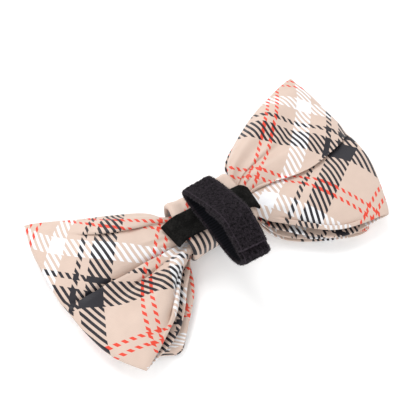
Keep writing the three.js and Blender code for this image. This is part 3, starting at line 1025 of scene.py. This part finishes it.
def strap_material():
    """The outside of hook-and-loop tape: its nap, with painted shade between the tufts and painted
    light on them, and a painted highlight along its borders and its end.
    """
    material, tree, shader = new_material("strap_nap")
    uv = cloth_uv(tree)
    nap = noise(tree, uv, 2600.0, 3.0, 0.7)["Fac"]
    clump = calc(tree, "MULTIPLY", noise(tree, uv, 1050.0, 2.0)["Fac"], 1.6)
    height = calc(tree, "ADD", nap, clump)
    # Painted light and shade on the nap: the colour is lighter where the tufts stand high and
    # darker between them.
    light = calc(tree, "MULTIPLY", calc(tree, "SUBTRACT", height, 1.05), 1.5)
    base = colour("strap")
    nap_shaded = mix(tree, light, base, brighter(base, 13))
    along, across = split(tree, uv)
    edge = (sizes().strap_width - sizes().strap_wall) / 2
    from_edge = calc(tree, "SUBTRACT", edge, calc(tree, "ABSOLUTE", across))
    # A painted highlight: the colour is brighter in a thin line along the tape's two borders and
    # its end, broken up by the nap.
    beside = calc(tree, "COMPARE", from_edge, 0.0002, 0.00018)
    at_end = calc(tree, "COMPARE", along, 0.0003, 0.00028)
    border = calc(tree, "MULTIPLY", calc(tree, "MAXIMUM", beside, at_end), nap)
    edge_highlit = mix(tree, border, nap_shaded, brighter(base, 24))
    surface(tree, shader, edge_highlit, height, (0.9, 0.0003), 0.92, 0.1)
    return material


def strap_lining():
    """The ribbed inside of the tape, a little bluer than its outside."""
    material, tree, shader = new_material("strap_ribs")
    uv = cloth_uv(tree)
    along, _ = split(tree, uv)
    ribs = calc(tree, "SINE", calc(tree, "MULTIPLY", along, 2 * math.pi / RIB_PITCH))
    fuzz = noise(tree, uv, 1300.0, 3.0)["Fac"]
    height = calc(tree, "ADD", calc(tree, "MULTIPLY", ribs, 0.35), fuzz)
    dark, light = (0.0010, 0.0010, 0.0017, 1.0), (0.008, 0.008, 0.0125, 1.0)
    surface(tree, shader, mix(tree, height, dark, light), height, (0.8, 0.0003), 0.8, 0.12)
    return material


def pile_material():
    """Loose hairs of the tape's nap."""
    material, tree, shader = new_material("strap_hairs")
    place = add_node(tree, "ShaderNodeTexCoord").outputs["Object"]
    base = colour("strap")
    hairs = mix(tree, noise(tree, place, 900.0, 1.0)["Fac"], base, brighter(base, 20))
    tree.links.new(hairs, shader.inputs["Base Color"])
    set_inputs(shader, {"Roughness": 0.7})
    return material


def floor_material():
    """A plain pale floor with a faint glow."""
    material, _, shader = new_material("pale_floor")
    values = {
        "Base Color": (0.95, 0.95, 0.95, 1.0),
        "Emission Color": (1.0, 1.0, 1.0, 1.0),
        "Emission Strength": FLOOR_GLOW,
        "Roughness": 0.9,
        "Specular IOR Level": 0.1,
    }
    set_inputs(shader, values)
    return material


def dress(obj, material, nodes):
    """Gives a finished sheet its material, attaches it to the root body and hides the imported
    parts that it replaces.
    """
    obj.data.materials.append(material)
    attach(obj, "root")
    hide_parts(*nodes)
    return obj


def cloth():
    """The plaid cloth, made once for all the pieces cut from it."""
    return bpy.data.materials.get("plaid_cloth") or plaid_material()


class BOWTIE_OT_back_bow(bpy.types.Operator):
    """Makes the larger bow, whose back shows"""

    bl_idname = "bowtie.back_bow"
    bl_label = "Back bow"

    def execute(self, context):
        s = sizes()
        base = s.front_rise + s.seat_gap
        folds, steps = BACK_BOW_FOLDS, BACK_BOW_STEPS
        worked = BACK_BOW_CREASES, BACK_BOW_LAPS
        shape = folds, base, s.back_rise, steps, BACK_WING_STEPS, BACK_TIP_FAN, *worked
        obj = bow("back_bow_cloth", *shape)
        dress(obj, cloth(), ["back_bow"])
        return {"FINISHED"}


class BOWTIE_OT_front_bow(bpy.types.Operator):
    """Makes the bow that lies on the table"""

    bl_idname = "bowtie.front_bow"
    bl_label = "Front bow"

    def execute(self, context):
        s = sizes()
        folds, steps = FRONT_BOW_FOLDS, FRONT_BOW_STEPS
        shape = folds, 0.0, s.front_rise, steps, FRONT_WING_STEPS, 0.0, (), ()
        obj = bow("front_bow_cloth", *shape)
        dress(obj, cloth(), ["front_bow"])
        return {"FINISHED"}


class BOWTIE_OT_knot_band(bpy.types.Operator):
    """Makes the cloth band round the middle"""

    bl_idname = "bowtie.knot_band"
    bl_label = "Knot band"

    def execute(self, context):
        middle, size = knot_middle()
        half_wall = BAND_WALL / 2
        near, far, bottom, top = band_sides()
        near, far = near + half_wall, far - half_wall
        bottom, top = bottom + half_wall, top - half_wall
        around = []
        for turn, ((sy, sz), outer) in zip((-90, 0, 90, 180), BAND_RADII.items()):
            radius = outer - half_wall
            for i in range(BAND_CORNER_POINTS):
                angle = math.radians(turn + 90 * i / BAND_CORNER_POINTS)
                y = (far if sy > 0 else near) - sy * radius + radius * math.cos(angle)
                z = (top if sz > 0 else bottom) - sz * radius + radius * math.sin(angle)
                around.append((0.0, middle.y + y, middle.z + z))
        outline = np.array(around)[:, None, :]
        outline = curves_through(outline, [3] * len(around), True)[:, 0]
        share = np.linspace(-1, 1, BAND_ROWS)
        grid = np.repeat(outline[:, None, :], BAND_ROWS, 1)
        grid[..., 0] = middle.x + share * (size.x / 2 - half_wall)
        normal = grid_normals(grid, True)
        turn = np.linspace(0, 2 * math.pi, len(outline), endpoint=False)[:, None]
        wave = np.cos(share * PLEAT_RADIANS + 0.8 * np.sin(turn))
        pleat = -PLEAT_DEPTH + PLEAT_DEPTH * wave * (0.6 + 0.4 * np.cos(2 * turn + 0.6))
        pinch = -PINCH_DEPTH * (1 - share**2) * (0.6 + 0.4 * np.cos(turn))
        hem = smooth_step(np.abs(share), *BAND_HEMS)
        mouth = smooth_step(grid[..., 1] - middle.y, *MOUTH_ALONG)
        mouth = smooth_step(-share, *MOUTH_ACROSS) * mouth
        grid = grid + normal * (pleat + pinch + MOUTH_LIFT * mouth)[..., None]
        grid[..., 0] += MOUTH_REACH * mouth
        arc = arc_length(outline)
        arc = np.append(arc, arc[-1] + np.linalg.norm(outline[0] - outline[-1]))
        across, along = grid[:1, :, 0] + BAND_PRINT[0], arc[:, None] + BAND_PRINT[1]
        marks = np.stack(np.broadcast_arrays(across, along), -1)
        thick = np.broadcast_to(BAND_WALL + HEM_WALL * hem, grid.shape[:2])
        obj = keep_outward(sheet_mesh("knot_band_cloth", grid, thick, marks, True, 5))
        dress(obj, cloth(), ["knot_band"])
        return {"FINISHED"}


class BOWTIE_OT_felt_strip(bpy.types.Operator):
    """Makes the felt strip across the knot's back"""

    bl_idname = "bowtie.felt_strip"
    bl_label = "Felt strip"

    def execute(self, context):
        s = sizes()
        low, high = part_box("felt_strip")
        length, width = FELT_LENGTH - s.felt_wall, FELT_WIDTH - s.felt_wall
        centre = (low + high) / 2 - Vector((FELT_SHIFT, 0, 0))
        top = high.z - s.felt_wall / 2
        columns, rows = FELT_GRID
        x = np.linspace(-0.5, 0.5, columns)[:, None] * length
        share = np.linspace(-1, 1, rows)
        left = x < 0
        level, drop, bend, slip = (
            np.where(left, *ends) for ends in (FELT_LEVEL, FELT_DROP, FELT_BEND, FELT_SLIP)
        )
        past = np.clip((np.abs(x) - level) / (length / 2 - level), 0, 1)
        flat_x = x - np.where(left, FELT_SLANT * share, 0) * past
        flat_y = np.broadcast_to(width / 2 * share, flat_x.shape)
        grid = np.empty((columns, rows, 3))
        cos, sin = math.cos(FELT_TURN), math.sin(FELT_TURN)
        grid[..., 0] = centre.x + flat_x * cos - flat_y * sin
        grid[..., 1] = centre.y + flat_x * sin + flat_y * cos + slip * past**1.5
        grid[..., 2] = top - drop * past**bend
        grid[..., 2] += ripple(grid, s.seed + 3, *FELT_RIPPLE)
        marks = np.stack([flat_x, flat_y], -1)
        thick = np.full(grid.shape[:2], s.felt_wall)
        obj = keep_outward(sheet_mesh("felt_strip_cloth", grid, thick, marks, False))
        dress(obj, felt_material(), ["felt_strip"])
        return {"FINISHED"}


def strap_path(turns):
    """Middle points and rolls of the strap at places counted in rows of its table."""
    low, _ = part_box("strap")
    table = np.array(STRAP_LOOP)
    far = STRAP_FAR + knot_middle()[0].y + KNOT_SHIFT
    seat = low.z + STRAP_SOLID_WALL / 2
    reach = STRAP_REACH - STRAP_SOLID_WALL
    rise = STRAP_RISE - STRAP_SOLID_WALL
    along, up, roll = table.T
    points = np.stack([roll * ROLL_SCALE, far - along * reach, seat + up * rise], -1)[:, None, :]
    out = [catmull_rom(points, int(t) % len(table), t - int(t), True)[0] for t in turns]
    return np.array(out)


def tufts(u, v, cell, seed):
    """Rounded clumps about one cell apart, from 0 between them to 1 at their tops."""
    random = np.random.default_rng(seed)
    jitter = random.uniform(0.1, 0.9, (TUFT_TILE, TUFT_TILE, 2))
    size = random.uniform(0.5, 1.0, (TUFT_TILE, TUFT_TILE))
    x, y = u / cell, v / cell
    base_x, base_y = np.floor(x).astype(int), np.floor(y).astype(int)
    out = np.zeros(x.shape)
    for cell_x in (base_x - 1, base_x, base_x + 1):
        for cell_y in (base_y - 1, base_y, base_y + 1):
            i, j = cell_x % TUFT_TILE, cell_y % TUFT_TILE
            gap = np.hypot(cell_x + jitter[i, j, 0] - x, cell_y + jitter[i, j, 1] - y)
            out = np.maximum(out, size[i, j] * np.clip(1 - gap * gap, 0, 1))
    return out


def spikes(name, roots, ends, width, material):
    """Fine closed hairs from root to end points, as one piece."""
    along = ends - roots
    side = np.cross(along, np.array([0.31, 0.52, 0.79]))
    side /= np.maximum(np.linalg.norm(side, axis=1, keepdims=True), 1e-12)
    other = np.cross(along, side)
    other /= np.maximum(np.linalg.norm(other, axis=1, keepdims=True), 1e-12)
    corners = [
        roots + width * (math.cos(angle) * side + math.sin(angle) * other)
        for angle in (0, 2 * math.pi / 3, 4 * math.pi / 3)
    ]
    points = np.stack([*corners, ends], 1).reshape(-1, 3)
    first = np.arange(len(roots))[:, None, None] * 4
    faces = (first + np.array([[0, 2, 1], [0, 1, 3], [1, 2, 3], [2, 0, 3]])).reshape(-1, 3)
    mesh = bpy.data.meshes.new(name)
    mesh.from_pydata(points.tolist(), [], faces.tolist())
    mesh.materials.append(material)
    obj = bpy.data.objects.new(name, mesh)
    bpy.context.scene.collection.objects.link(obj)
    return keep_outward(obj)


def nap_hairs(grid, normal, half_wall, seed, length):
    """Roots and ends of loose hairs on the strap's outside and along its two edges."""
    random = np.random.default_rng(seed)
    columns, rows = grid.shape[:2]
    count = HAIR_COUNT
    on_edge = random.random(count) < HAIRS_AT_EDGES
    c = random.integers(1, columns - 1, count)
    r = random.integers(0, rows, count)
    edge_row = np.where(random.random(count) < 0.5, 0, rows - 1)
    r = np.where(on_edge, edge_row, r)
    inward = np.where(edge_row == 0, 1, rows - 2)
    out = -normal[c, r]
    across = grid[c, r] - grid[c, np.where(on_edge, inward, np.clip(r - 1, 0, rows - 1))]
    across /= np.maximum(np.linalg.norm(across, axis=1, keepdims=True), 1e-12)
    share = random.uniform(-1, 1, (count, 1))
    out = np.where(on_edge[:, None], across + out * share, out)
    out /= np.linalg.norm(out, axis=1, keepdims=True)
    roots = grid[c, r] + out * half_wall * 0.9
    lean = random.normal(size=(count, 3)) * HAIR_LEAN
    aim = out + lean
    aim /= np.linalg.norm(aim, axis=1, keepdims=True)
    # a hair that would point into the tape is turned outwards
    outside = np.sum(aim * out, axis=1, keepdims=True)
    aim = np.where(outside < 0.15, aim + out * (0.3 - outside), aim)
    return roots, roots + aim * random.uniform(0.4, 1.0, (count, 1)) * length


class BOWTIE_OT_strap(bpy.types.Operator):
    """Makes the hook-and-loop strap, closed into a loop with its end lapped over"""

    bl_idname = "bowtie.strap"
    bl_label = "Strap"

    def execute(self, context):
        s = sizes()
        lap = len(STRAP_LOOP) + LAP_START
        turns = np.linspace(LAP_START, LAP_END + len(STRAP_LOOP), 1200)
        length = arc_length(strap_path(turns)[:, 1:])
        count = int(length[-1] / STRAP_STEP)
        turns = np.interp(np.linspace(0, length[-1], count), length, turns)
        path = strap_path(turns)
        tangent = np.gradient(path[:, 1:], axis=0)
        tangent /= np.linalg.norm(tangent, axis=1, keepdims=True)
        outward = np.stack([-tangent[:, 1], tangent[:, 0]], -1)
        under = smooth_step(turns, lap - 1.0, lap - 0.1)
        lift = -outward * (under * (s.strap_wall + LAP_GAP))[:, None]
        share = np.linspace(-0.5, 0.5, STRAP_ROWS)
        roll = np.radians(s.strap_roll * path[:, 0] / ROLL_SCALE)[:, None]
        across = share[None, :] * (s.strap_width - s.strap_wall)
        grid = np.empty((count, STRAP_ROWS, 3))
        grid[..., 0] = knot_middle()[0].x + STRAP_SHIFT + across * np.cos(roll)
        grid[..., 1] = (path[:, 1] + lift[:, 0])[:, None]
        grid[..., 2] = (path[:, 2] + lift[:, 1])[:, None] - across * np.sin(roll)
        normal = grid_normals(grid, False)
        grid += normal * ripple(grid, s.seed + 5, *STRAP_RIPPLE)[..., None]
        marks = np.stack(np.broadcast_arrays(arc_length(path[:, 1:])[:, None], across), -1)
        large, small = (
            tufts(marks[..., 0], marks[..., 1], cell, s.seed + i)
            for i, cell in enumerate(TUFT_CELLS)
        )
        bare = smooth_step(np.abs(share), *NAP_BORDER)[None, :]
        resting = 1 - smooth_step(path[:, 2] - path[:, 2].min(), *RESTING_HEIGHTS)
        pressed = smooth_step(turns, lap + LAP_PRESSING[0], lap + LAP_PRESSING[1])
        pressed = np.maximum(pressed, resting)[:, None]
        nap = (large + 0.5 * small - NAP_LEVEL) * NAP_HEIGHT
        nap = nap * (1 - BORDER_FLATTENING * bare) * (1 - pressed)
        grid -= normal * (nap / 2)[..., None]
        looks = strap_material(), strap_lining()
        obj = sheet_mesh("strap_tape", grid, s.strap_wall + nap, marks, False, reverse=looks)
        keep_outward(obj)
        hairs = nap_hairs(grid, normal, s.strap_wall / 2, s.seed + 2, s.pile)
        pile = spikes("strap_pile", *hairs, HAIR_RADIUS, pile_material())
        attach(pile, "root")
        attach(obj, "root")
        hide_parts("strap")
        flat, under = (s.strap_width, STRAP_FLAT_LENGTH), ["felt_strip_cloth"]
        return {"FINISHED"}


# Studio


def area_light(name, place, size, power):
    """A soft round light that looks at the origin."""
    data = bpy.data.lights.new(name, "AREA")
    data.shape = "DISK"
    data.size = size
    data.energy = power
    obj = bpy.data.objects.new(name, data)
    obj.location = place
    obj.rotation_euler = (-Vector(place)).to_track_quat("-Z", "Y").to_euler()
    bpy.context.scene.collection.objects.link(obj)


class BOWTIE_OT_stage(bpy.types.Operator):
    """Makes the camera, the soft lights and the pale floor"""

    bl_idname = "bowtie.stage"
    bl_label = "Stage"

    def execute(self, context):
        scene = context.scene
        middle, _ = knot_middle()
        target = Vector((middle.x + CAMERA_AIM[0], middle.y + CAMERA_AIM[1], 0.0))
        a, e = math.radians(CAMERA_AZIMUTH), math.radians(CAMERA_ELEVATION)
        back = Vector((math.sin(a) * math.cos(e), -math.cos(a) * math.cos(e), math.sin(e)))
        data = bpy.data.cameras.new("camera")
        data.lens = CAMERA_LENS
        data.sensor_width = 36
        data.clip_start, data.clip_end = 0.01, 10
        camera = bpy.data.objects.new("camera", data)
        camera.location = target + back * CAMERA_DISTANCE
        camera.rotation_euler = (-back).to_track_quat("-Z", "Y").to_euler()
        scene.collection.objects.link(camera)
        scene.camera = camera
        bpy.ops.object.select_all(action="DESELECT")
        bpy.ops.mesh.primitive_plane_add(size=FLOOR_SIZE, location=(0, 0, 0))
        floor = context.object
        floor.name = "floor"
        floor.data.materials.append(floor_material())
        for light in LIGHTS:
            area_light(*light)
        world = bpy.data.worlds.new("studio")
        scene.world = world
        world.use_nodes = True
        background = world.node_tree.nodes["Background"]
        set_inputs(background, {"Color": (1, 1, 1, 1), "Strength": WORLD_LIGHT})
        scene.view_settings.view_transform = "Standard"
        return {"FINISHED"}


class BOWTIE_PT_panel(bpy.types.Panel):
    """Lists the pieces in the sidebar"""

    bl_label = "Bow Tie"
    bl_idname = "BOWTIE_PT_panel"
    bl_space_type = "VIEW_3D"
    bl_region_type = "UI"
    bl_category = "Bow Tie"

    def draw(self, context):
        for operator in OPERATORS:
            self.layout.operator(operator.bl_idname)
        for group in (context.scene.bow_tie_sizes, context.scene.bow_tie_colours):
            for name in group.__annotations__:
                self.layout.prop(group, name)


OPERATORS = (
    BOWTIE_OT_stage,
    BOWTIE_OT_front_bow,
    BOWTIE_OT_back_bow,
    BOWTIE_OT_knot_band,
    BOWTIE_OT_felt_strip,
    BOWTIE_OT_strap,
)
CLASSES = (BowTieSizes, BowTieColours, *OPERATORS, BOWTIE_PT_panel)


def register():
    for item in CLASSES:
        bpy.utils.register_class(item)
    bpy.types.Scene.bow_tie_sizes = PointerProperty(type=BowTieSizes)
    bpy.types.Scene.bow_tie_colours = PointerProperty(type=BowTieColours)


def unregister():
    del bpy.types.Scene.bow_tie_sizes
    del bpy.types.Scene.bow_tie_colours
    for item in reversed(CLASSES):
        bpy.utils.unregister_class(item)


def main():
    register()
    bpy.ops.bowtie.stage()
    bpy.ops.bowtie.front_bow()
    bpy.ops.bowtie.back_bow()
    bpy.ops.bowtie.knot_band()
    bpy.ops.bowtie.felt_strip()
    bpy.ops.bowtie.strap()


if __name__ == "__main__":
    main()
